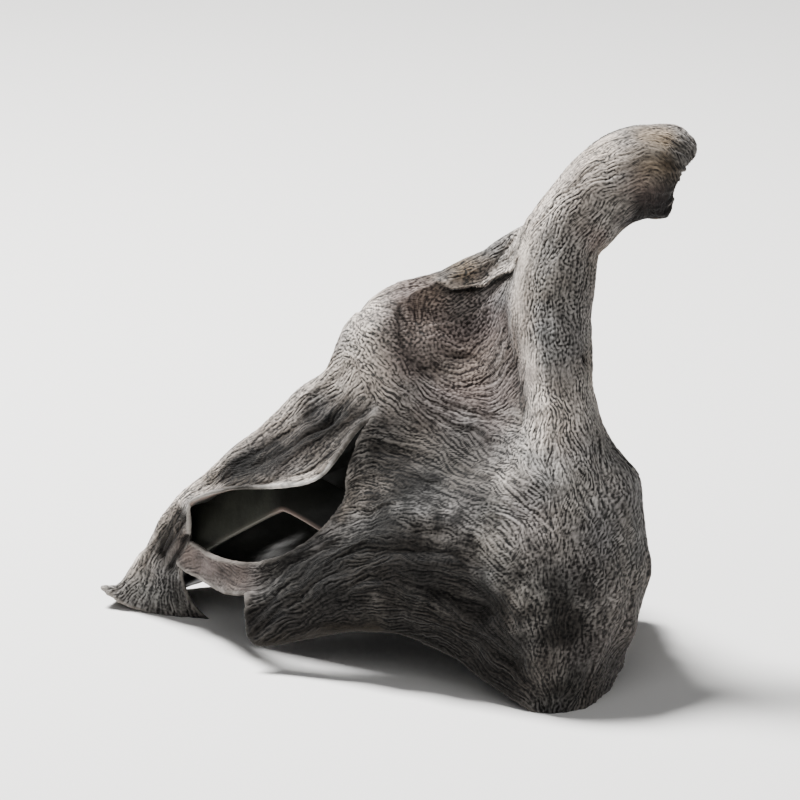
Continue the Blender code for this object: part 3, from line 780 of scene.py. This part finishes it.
def distance_to_line(places, line):
    """How far each (across, up) is from the line, and whether it is on its left (1) or right (-1)."""
    best = np.full(len(places), FAR)
    side = np.ones(len(places))
    for (ax, ay), (bx, by) in zip(line, line[1:] or line):
        run, rise = bx - ax, by - ay
        part = ((places[:, 0] - ax) * run + (places[:, 1] - ay) * rise) / max(run * run + rise * rise, 1e-9)
        part = np.clip(part, 0, 1)
        apart = np.hypot(places[:, 0] - ax - part * run, places[:, 1] - ay - part * rise)
        nearer = apart < best
        turn = run * (places[:, 1] - ay) - rise * (places[:, 0] - ax)
        side = np.where(nearer, np.sign(turn), side)
        best = np.where(nearer, apart, best)
    return best, side


def fold_height(places, kind, line, width, amount):
    """How far one fold makes each place stand out."""
    apart, side = distance_to_line(places, line)
    if kind == "round":
        return amount * bell(apart, width)
    if kind == "sharp":
        return amount * np.exp(-np.maximum(apart - SHARP_TOP, 0) / width)
    from_start = np.hypot(places[:, 0] - line[0][0], places[:, 1] - line[0][1])
    amount = amount * smoothstep(0, LIP_GROWS, from_start)
    edge = smoothstep(-0.3 * width, 0.3 * width, apart * side)
    return amount * (edge * bell(apart, 2.2 * width) - (1 - edge) * bell(apart, 1.8 * width) * 0.8)


def torn(places):
    """How far the end of the horn moved across and up where it tore, and its pleats, which stand out."""
    shift = np.zeros((len(places), 2))
    for spot, width, move in TORN_END:
        shift += bell(np.linalg.norm(places - spot, axis=1), width)[:, None] * move
    across, up, near = places.T
    end_up, end_near = HORN_END
    reach = smoothstep(26.5, 31.5, across + 0.3 * (end_up - up)) * smoothstep(48.5, 50, up)
    turn = np.arctan2(near - end_near, up - end_up)
    wobble = Noise("pleats").at(places)
    pleats = 0.13 * np.sin(13 * turn + 1.2 * wobble) + 0.06 * np.sin(29 * turn - 0.8 * wobble)
    return shift, reach * (pleats + 0.05 * Noise("grain").at(places))


def sculpted(points, faces, marks, from_margin):
    """The skin with the folds, dents and tears that the drying left, and how far its creases stand out."""
    places = leaning(points)
    horn = marks["row"] < 0
    shift, pleats = torn(places)
    shift *= horn[:, None]
    places = places + np.column_stack([shift, np.zeros(len(points))])
    points = upright(places)
    normals = normals_of(points, faces)
    front = smoothstep(-0.2, 0.1, faces_front(normals)) * (marks["rib"] < FRONT_ENDS)
    height = pleats * horn
    nearer = np.zeros(len(points))
    creases = np.zeros(len(points))
    for kind, line, width, amount in FRONT_FOLDS:
        moved = fold_height(places, kind, line, width, amount) * front
        if kind == "lip":
            nearer += moved
        else:
            height += moved
        creases += moved if kind != "round" else 0
    behind = smoothstep(FRONT_ENDS - 0.5, FRONT_ENDS + 1, marks["rib"]) * smoothstep(0, 6, marks["row"])
    bend = 1.6 * Noise("bend").at(points)
    height += behind * PLEAT_HEIGHT * np.sin(2 * math.pi * PLEATS_A_RIB * marks["rib"] + bend)
    sheet = smoothstep(-2, 1.5, marks["row"])
    height += sheet * SWELL_HEIGHT * Noise("swell").at(points)
    height += sheet * HEM_HEIGHT * bell(from_margin, HEM_WIDTH)
    return points + normals * height[:, None] + nearer[:, None] * NEARER, creases


def tints(points, normals, marks, creases):
    """How far each patch of colour reaches over each point, from 0 to 1."""
    places = leaning(points)
    front = smoothstep(-0.1, 0.25, faces_front(normals)) * (marks["rib"] < FRONT_ENDS + 1.5)
    ragged = np.clip(1 + 0.16 * Noise("ragged").at(points), 0.6, 1.5)
    found = {}
    for name, patches in PATCHES.items():
        left = np.ones(len(points))
        for line, radius, strength in patches:
            left *= 1 - strength * bell(distance_to_line(places, line)[0] * ragged, radius)
        usual = USUAL_SHADE_AND_TONE if name == "shade_and_tone" else USUAL_TINT
        drift = np.clip(usual + 0.22 * Noise(name).at(points), 0, 1)
        found[name] = np.clip((1 - left) * front + drift * (1 - 0.6 * front), 0, 1)
    # Painted shade along the creases that sink, such as under the lip, and a painted highlight along those
    # that stand out, such as the lip's upper edge.
    found["shade_and_tone"] = np.clip(found["shade_and_tone"] + np.clip(-1.4 * creases, 0, 0.7), 0, 1)
    found["pale_and_lit"] = np.clip(found["pale_and_lit"] + np.clip(1.2 * creases, 0, 0.6), 0, 1)
    return found


def long_zone(points, marks):
    """Above 0 where the ridges run long: on the middle and the left of the front, and on most of the back."""
    across, up = leaning(points)[:, :2].T
    front = 1.2 - 2.2 * smoothstep(10, 16, across) - 1.5 * smoothstep(30, 36, up)
    front += 1.3 * np.exp(-((across - LONG_SPOT[0]) ** 2 + (up - LONG_SPOT[1]) ** 2) / LONG_WIDTH ** 2)
    return np.where(marks["rib"] > FRONT_ENDS, 0.3, front)


def hair_relief(points, normals, edges, marks, netted):
    """The matted hairs, the wider wrinkles and the tone, each about 0 with a spread of 1, and the flow."""
    flow = hair_flow(points, normals)
    sway = 0.2 * Noise("long sway").at(points) + 0.2 * Noise("short sway").at(points)
    flow = unit(flow + np.cross(normals, flow) * sway[:, None]).astype(np.float32)
    skin = (points.astype(np.float32), normals.astype(np.float32), flow, neighbours_of(edges, len(points)))
    noises = [(Noise(name), reaches) for name, reaches in HAIR_REACHES.items()]
    (long, short), (thin,), (tone,), (wide,) = drawn_out(noises, skin)
    parts = [values - evened(values, edges, 6) for values in (long, short, thin, Noise("pits").at(points))]
    long, short, thin, pits = [values / values.std() for values in parts]
    zone = smoothstep(-0.5, 0.5, 0.8 * Noise("zones").at(points) + long_zone(points, marks))
    lines = zone * long + (1 - zone) * short + 0.5 * thin
    fine = (1 - 0.45 * netted) * lines + (0.55 - 0.15 * zone + 0.6 * netted) * pits
    return fine / fine.std(), wide / wide.std(), tone / tone.std(), flow


def inner_face(points, faces, edges, thickness, held):
    """The inner face of the sheet, which is smoother than the outer one."""
    middle = relaxed(points, edges, 16, held)
    return relaxed(middle - normals_of(middle, faces) * thickness[:, None], edges, 12, held)


def margin_ways(points, normals, margin):
    """For each point of the margin, the way out of the sheet."""
    side = np.cross(points[margin[:, 1]] - points[margin[:, 0]], normals[margin[:, 0]])
    return unit(sum(added_up(margin[:, end], side, len(points)) for end in (0, 1)))


def closed_shell(outer, inner, faces, margin, ways):
    """The outer and the inner face, joined round the margin by a round lip."""
    count = len(outer)
    ring = np.unique(margin)
    middle = (outer[ring] + inner[ring]) / 2
    half = (outer[ring] - inner[ring]) / 2
    reach = np.linalg.norm(half, axis=1, keepdims=True) * ways[ring]
    lips = [middle - half * math.sin(turn) + reach * math.cos(turn) for turn in LIP_TURNS]
    spot = 2 * count + np.searchsorted(ring, margin)
    rows = [margin] + [spot + k * len(ring) for k in range(len(lips))] + [margin + count]
    strips = [np.concatenate([upper[:, ::-1], lower], 1) for upper, lower in zip(rows, rows[1:])]
    return np.concatenate([outer, inner] + lips), np.concatenate([faces, faces[:, ::-1] + count] + strips)


def seam_walls(faces, margin, count):
    """The triangles that close a piece through the sheet along its seams, as points of the whole shell."""
    rim = edges_of(faces, count)[1]
    one, other = rim[~np.isin(numbered(rim, count), numbered(margin, count))].T
    walls = [np.stack([other, one, one + count], 1), np.stack([other, one + count, other + count], 1)]
    ring = np.unique(margin)
    for ends, turn in ((one, 1), (other, -1)):
        ends = ends[np.isin(ends, ring)]
        spot = 2 * count + np.searchsorted(ring, ends)
        section = [spot + k * len(ring) for k in range(len(LIP_TURNS))] + [ends + count]
        for near, far in zip(section, section[1:]):
            walls.append(np.stack([ends, near, far][::turn], 1))
    return np.concatenate(walls)


def haired(points, normals, edges, marks, patches):
    """How far the hairs raise each point, and what the outer and the inner face are marked with there."""
    calm, bare = patches["calm"], np.zeros(len(points))
    fine, wide, tone, flow = hair_relief(points, normals, edges, marks, patches.pop("netted"))
    rough = 0.78 + 0.22 * np.tanh(1.5 * Noise("rough").at(points))
    rough *= 1 - 0.75 * calm
    relief = fine * rough
    height = HAIR_HEIGHT * np.tanh(1.1 * relief + 0.3) + WRINKLE_HEIGHT * (1 - 0.7 * calm) * np.tanh(wide)
    products = flow[:, [0, 0, 1]] * flow[:, [1, 2, 2]]
    sides = {"relief": (relief, bare), "tone": (tone, bare), "squares": (flow ** 2, flow ** 2),
             "products": (products, products)}
    return height, sides | {name: (tint, bare) for name, tint in patches.items()}


def skin_shell():
    """The skin: its points in metres, faces, pieces, materials and values, and the walls of each seam."""
    points, faces, marks, piece = refined_skin()
    edges, margin, margin_faces = edges_of(faces, len(points))
    ring = np.unique(margin)
    tree = tree_of(points[ring])
    from_margin = np.array([tree.find(point)[2] for point in points])
    points, creases = sculpted(points, faces, marks, from_margin)
    normals = normals_of(points, faces)
    height, sides = haired(points, normals, edges, marks, tints(points, normals, marks, creases))
    share = THIN_MARGIN + THICKER_INLAND * smoothstep(0, FULL_SHEET, from_margin)
    inner = inner_face(points, faces, edges, marks["wall"] * share, ring)
    ways = margin_ways(points, normals, margin)
    shell, every = closed_shell(points + normals * height[:, None], inner, faces, margin, ways)
    shell[:, 2] = np.maximum(shell[:, 2], 0)
    sides["margin"] = (from_margin, from_margin)
    lips = len(LIP_TURNS)
    values = {name: np.concatenate([outside, inside] + [outside[ring]] * lips)
              for name, (outside, inside) in sides.items()}
    materials = np.repeat([0, 1, 0], [len(faces), len(faces), len(every) - 2 * len(faces)])
    pieces = np.concatenate([piece, piece] + [piece[margin_faces]] * (lips + 1))
    walls = [seam_walls(faces[piece == number], margin, len(points)) for number in range(len(PIECES))]
    return shell * MM, every, pieces, materials, values, walls


def new_mesh(name, points, faces, materials, values):
    """A smooth mesh whose points carry the values."""
    mesh = bpy.data.meshes.new(name)
    mesh.vertices.add(len(points))
    mesh.vertices.foreach_set("co", points.astype(np.float32).ravel())
    mesh.loops.add(faces.size)
    mesh.loops.foreach_set("vertex_index", faces.astype(np.int32).ravel())
    mesh.polygons.add(len(faces))
    mesh.polygons.foreach_set("loop_start", np.arange(0, faces.size, faces.shape[1], dtype=np.int32))
    mesh.polygons.foreach_set("material_index", materials.astype(np.int32))
    mesh.update()
    for key, value in values.items():
        kind, field = ("FLOAT_VECTOR", "vector") if value.ndim == 2 else ("FLOAT", "value")
        data = mesh.attributes.new(key, kind, "POINT").data
        data.foreach_set(field, value.astype(np.float32).ravel())
    mesh.shade_smooth()
    return mesh


def thinned(most, points, faces, materials, values, seam):
    """Part of the skin with its triangles collapsed down to the most it may have, but not along its seams."""
    free = np.ones(len(points), bool)
    free[faces[seam[faces].any(1)]] = False
    corners = np.concatenate([faces[:, [0, 1, 2]], faces[:, [0, 2, 3]]])
    mesh = new_mesh("thinning", points, corners, np.tile(materials, 2), values)
    item = placed("thinning", mesh)
    group = item.vertex_groups.new(name="free")
    group.add(np.flatnonzero(free).tolist(), 1.0, "REPLACE")
    thin = item.modifiers.new("Thin", "DECIMATE")
    thin.ratio = min(1, most / len(corners))
    thin.vertex_group = "free"
    result = evaluated(item).to_mesh()
    points = read(result.vertices, "co", 3).astype(np.float64)
    corners = read(result.loops, "vertex_index", 1, np.int32).reshape(-1, 3)
    materials = read(result.polygons, "material_index", 1, np.int32)
    values = {key: read(result.attributes[key].data, *(("vector", 3) if value.ndim == 2 else ("value", 1)))
              for key, value in values.items()}
    bpy.data.objects.remove(item, do_unlink=True)
    bpy.data.meshes.remove(mesh)
    return points, corners, materials, values


def shared_normals(parts):
    """Each part's normals at its points, the same on both sides of a seam."""
    totals = [summed_normals(points, corners) for points, corners, materials, values in parts]
    places = np.round(np.concatenate([part[0] for part in parts]) * 1e8).astype(np.int64)
    keys = places[:, 0] * 73856093 ^ places[:, 1] * 19349663 ^ places[:, 2] * 83492791
    together, group = np.unique(keys, return_inverse=True)
    summed = added_up(group, np.concatenate(totals), len(together))
    return np.split(unit(summed[group]), np.cumsum([len(total) for total in totals])[:-1])


def across_hairs(normals, corners, squares, products):
    """The way across the hairs at each triangle's corners, the same way round within a triangle."""
    columns = np.stack([np.stack([squares[:, 0], products[:, 0], products[:, 1]], 1),
                        np.stack([products[:, 0], squares[:, 1], products[:, 2]], 1),
                        np.stack([products[:, 1], products[:, 2], squares[:, 2]], 1)], 1)
    flow = columns[np.arange(len(squares)), squares.argmax(1)]
    ways = unit(np.cross(normals, flow))[corners]
    alike = (ways[:, 1:] * ways[:, :1]).sum(2, keepdims=True)
    ways[:, 1:] *= np.where(alike < 0, -1, 1)
    return ways.reshape(-1, 3)


def walled_piece(name, part, normals, wall, points, values):
    """One piece of the skin, closed through the sheet along its seams, as a mesh."""
    spots, corners, materials, own = part
    used, added = np.unique(wall, return_inverse=True)
    added = added.reshape(-1, 3) + len(spots)
    spots = np.concatenate([spots, points[used]])
    corners = np.concatenate([corners, added])
    materials = np.concatenate([materials, np.ones(len(added), np.int32)])
    own = {key: np.concatenate([value, values[key][used]]) for key, value in own.items()}
    normals = np.concatenate([normals, normals_of(spots, added)[-len(used):]])
    ways = across_hairs(normals, corners, own.pop("squares"), own.pop("products"))
    mesh = new_mesh(name, spots, corners, materials, own)
    across = mesh.attributes.new("across", "FLOAT_VECTOR", "CORNER").data
    across.foreach_set("vector", ways.astype(np.float32).ravel())
    mesh.normals_split_custom_set_from_vertices(normals)
    return mesh


def wood_ear():
    """The pieces of the skin, as meshes."""
    points, every, pieces, materials, values, walls = skin_shell()
    low = np.full(len(points), len(PIECES))
    high = np.full(len(points), -1)
    for corner in every.T:
        np.minimum.at(low, corner, pieces)
        np.maximum.at(high, corner, pieces)
    seam = low != high
    parts = []
    for number, (name, most) in enumerate(PIECES):
        chosen = pieces == number
        used, corners = np.unique(every[chosen], return_inverse=True)
        own = {key: value[used] for key, value in values.items()}
        parts.append(thinned(most, points[used], corners.reshape(-1, 4), materials[chosen], own, seam[used]))
    return [walled_piece(name, part, normals, wall, points, values)
            for (name, most), part, normals, wall in zip(PIECES, parts, shared_normals(parts), walls)]


def inner_fold():
    """The fold that shows inside the tear: it hangs down from under the flap, to a free edge with a peak."""
    cage = bmesh.new()
    layers = cage.verts.layers.float
    margin, pale_and_lit, pointed = [layers.new(name) for name in ("margin", "pale_and_lit", "crease_vert")]
    peak = max(INNER_FOLD, key=lambda point: point[1])
    reach_up, reach_near = INNER_FOLD_REACH
    rows = []
    for part in (0, 0.25, 0.5, 0.75, 1):
        row = []
        for across, up, near in INNER_FOLD:
            vertex = cage.verts.new(stood_up((across, up + part * reach_up, near + part * reach_near)))
            vertex[margin] = part * reach_up
            # Painted light: the fold's left part is marked lighter, as if lit, and its right part stays dark,
            # as if in shade.
            vertex[pale_and_lit] = float(across < peak[0])
            vertex[pointed] = 0.7 if part == 0 and across == peak[0] else 0.0
            row.append(vertex)
        rows.append(row)
    for upper, lower in zip(rows, rows[1:]):
        for k in range(len(INNER_FOLD) - 1):
            cage.faces.new((upper[k], upper[k + 1], lower[k + 1], lower[k]))
    mesh = bpy.data.meshes.new("fold cage")
    cage.to_mesh(mesh)
    cage.free()
    fold = placed("fold cage", mesh)
    soften(fold, 3)
    sheet = fold.modifiers.new("Sheet", "SOLIDIFY")
    sheet.thickness = INNER_FOLD_SHEET * MM
    sheet.offset = 0
    soften(fold, 1)
    result = bpy.data.meshes.new_from_object(evaluated(fold))
    bpy.data.objects.remove(fold, do_unlink=True)
    result.name = "wood_ear_inner_fold"
    result.shade_smooth()
    return result


class Nodes:
    """Adds nodes to a material and joins them."""

    def __init__(self, name):
        self.material = bpy.data.materials.new(name)
        self.material.use_nodes = True
        self.tree = self.material.node_tree
        self.shader = self.tree.nodes["Principled BSDF"]

    def put(self, socket, value):
        if isinstance(value, bpy.types.NodeSocket):
            self.tree.links.new(value, socket)
        else:
            socket.default_value = value

    def add(self, kind, inputs, **settings):
        """A new node. Its inputs go by name or by number."""
        node = self.tree.nodes.new("ShaderNode" + kind)
        for key, value in settings.items():
            setattr(node, key, value)
        for key, value in inputs.items():
            self.put(node.inputs[key], value)
        return node

    def finish(self, settings):
        """The shader's own settings, by the name of their socket."""
        for key, value in settings.items():
            self.put(self.shader.inputs[key], value)
        return self.material

    def value(self, name):
        return self.add("Attribute", {}, attribute_name=name).outputs["Fac"]

    def mix(self, factor, one, other, blend="MIX"):
        node = self.add("Mix", {}, data_type="RGBA", blend_type=blend)
        for key, value in (("Factor", factor), (6, one), (7, other)):
            self.put(node.inputs[key], value)
        return node.outputs[2]

    def math(self, operation, one, other, third=0.0):
        return self.add("Math", {0: one, 1: other, 2: third}, operation=operation).outputs[0]

    def between(self, value, low, high, to_low=0.0, to_high=1.0):
        limits = {"Value": value, "From Min": low, "From Max": high, "To Min": to_low, "To Max": to_high}
        return self.add("MapRange", limits, interpolation_type="SMOOTHSTEP").outputs["Result"]

    def place(self):
        return self.add("TexCoord", {}).outputs["Object"]

    def noise(self, size, detail=2.0):
        """Noise whose blotches are about size millimetres across."""
        inputs = {"Vector": self.place(), "Scale": 1 / (size * MM), "Detail": detail, "Roughness": 0.5}
        return self.add("TexNoise", inputs).outputs["Fac"]

    def hairs(self, size, lines):
        """Hairs along the flow, from -1 to 1: so many of them across each size, in millimetres."""
        inputs = {"Vector": self.place(), "Scale": 1 / (size * MM), "Frequency": lines / 2, "Anisotropy": 1.0}
        node = self.add("TexGabor", inputs, gabor_type="3D")
        turned = next(socket for socket in node.inputs if socket.identifier == "Orientation 3D")
        self.put(turned, self.add("Attribute", {}, attribute_name="across").outputs["Vector"])
        wave = self.math("ABSOLUTE", self.math("SUBTRACT", node.outputs["Value"], 0.5), 0.0)
        return self.math("MULTIPLY_ADD", wave, -6.0, 1.0)

    def bump(self, height, depth):
        inputs = {"Height": height, "Distance": depth * MM, "Strength": 1.0}
        return self.add("Bump", inputs).outputs["Normal"]


def outside_material():
    """Matted grey hair: light on its crests and dark between them, partly painted shade in the grooves,
    tinted in patches, some of them painted shade and painted highlight, with a pale margin that is partly a
    painted highlight.
    """
    nodes = Nodes("velvety outside")
    relief = nodes.math("MULTIPLY_ADD", nodes.value("tone"), 0.18, nodes.value("relief"))
    hair = nodes.hairs(0.8, 5)
    rough = nodes.math("MULTIPLY_ADD", nodes.value("calm"), -0.6, 0.7)
    netted = nodes.math("MULTIPLY_ADD", nodes.noise(0.5, 2), 4.0, -2.0)
    crest = nodes.math("ADD", relief, nodes.math("MULTIPLY", nodes.math("ADD", hair, netted), rough))
    crest = nodes.between(nodes.math("MULTIPLY_ADD", nodes.value("calm"), 0.4, crest), -0.9, 2.1)
    light = nodes.mix(nodes.noise(5, 3), *GREY_CRESTS)
    for name, strength, tint in CREST_TINTS:
        light = nodes.mix(nodes.math("MULTIPLY", nodes.value(name), strength), light, tint)
    dark = nodes.mix(nodes.value("blush"), *DARK_HOLLOWS)
    dark = nodes.mix(nodes.math("MULTIPLY", nodes.value("pale_and_lit"), 0.6), dark, PALE_AND_LIT_HOLLOWS)
    colour = nodes.mix(crest, dark, light)
    # The pale margin band, partly a painted highlight along the rim.
    edge = nodes.between(nodes.value("margin"), 0.0, 0.35, 0.6, 0.0)
    colour = nodes.mix(edge, colour, nodes.mix(nodes.value("pale_and_lit"), *PALE_AND_LIT_MARGINS))
    # Painted shade over a random darker tone: the lower body, dents, sunken creases and the horn's underside
    # darkened as if in shadow.
    colour = nodes.mix(nodes.value("shade_and_tone"), colour, SHADE_AND_TONE, "MULTIPLY")
    normal = nodes.bump(nodes.math("ADD", hair, nodes.noise(0.16, 3)), 0.03)
    return nodes.finish({"Base Color": colour, "Normal": normal, "Roughness": 0.85,
                         "Specular IOR Level": 0.12, "Sheen Weight": 0.06, "Sheen Roughness": 0.4})


def inside_material():
    """Smooth and near-black, a little lighter where it is painted as lit, with a brown margin."""
    nodes = Nodes("smooth black inside")
    colour = nodes.mix(nodes.noise(6), *INSIDE_BLACKS)
    tint = nodes.math("MULTIPLY", nodes.value("pale_and_lit"), nodes.noise(2.5, 3))
    colour = nodes.mix(tint, colour, INSIDE_PALE_AND_LIT)
    edge = nodes.between(nodes.value("margin"), 0.0, 0.6, 0.7, 0.0)
    colour = nodes.mix(edge, colour, nodes.mix(nodes.value("pale_and_lit"), *INSIDE_MARGINS))
    normal = nodes.bump(nodes.noise(1.2, 4), 0.08)
    return nodes.finish({"Base Color": colour, "Normal": normal, "Roughness": 0.42,
                         "Specular IOR Level": 0.2})


def turned_to(item, spot):
    """Turns a lamp or a camera to look at the spot."""
    item.rotation_euler = (Vector(spot) - Vector(item.location)).to_track_quat("-Z", "Y").to_euler()


def studio():
    """A plain pale floor, soft lamps and a faint light all round."""
    mesh = bpy.data.meshes.new("floor")
    corners = [(x * FLOOR_REACH, y * FLOOR_REACH, 0) for x, y in ((-1, -1), (1, -1), (1, 1), (-1, 1))]
    mesh.from_pydata(corners, [], [(0, 1, 2, 3)])
    floor = placed("floor", mesh)
    mesh.materials.append(Nodes("pale floor").finish({"Base Color": FLOOR_COLOUR, "Roughness": 0.8}))
    world = bpy.data.worlds.new("studio")
    bpy.context.scene.world = world
    world.use_nodes = True
    sky = world.node_tree.nodes["Background"].inputs
    sky["Color"].default_value = SKY_COLOUR
    sky["Strength"].default_value = 0.10
    for name, place, size, power in LAMPS:
        light = bpy.data.lights.new(name, "AREA")
        light.size = size
        light.energy = power
        lamp = placed(name, light)
        lamp.location = place
        turned_to(lamp, LIT_SPOT)


def camera():
    """The camera, at the photograph's viewing angle."""
    lens = bpy.data.cameras.new("camera")
    lens.lens = 260
    lens.sensor_width = 36
    lens.clip_start = 0.01
    eye = placed("camera", lens)
    back = Vector((0, -math.cos(CAMERA_RISE), math.sin(CAMERA_RISE)))
    eye.location = Vector(CAMERA_AIM) + back * CAMERA_DISTANCE
    turned_to(eye, CAMERA_AIM)
    bpy.context.scene.camera = eye


def main():
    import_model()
    outside, inside = outside_material(), inside_material()
    fold = inner_fold()
    for mesh in wood_ear() + [fold]:
        for finish in (inside,) if mesh == fold else (outside, inside):
            mesh.materials.append(finish)
        piece = placed(mesh.name, mesh)
        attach(piece, "root")
        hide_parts("wood_ear")
    studio()
    camera()


main()
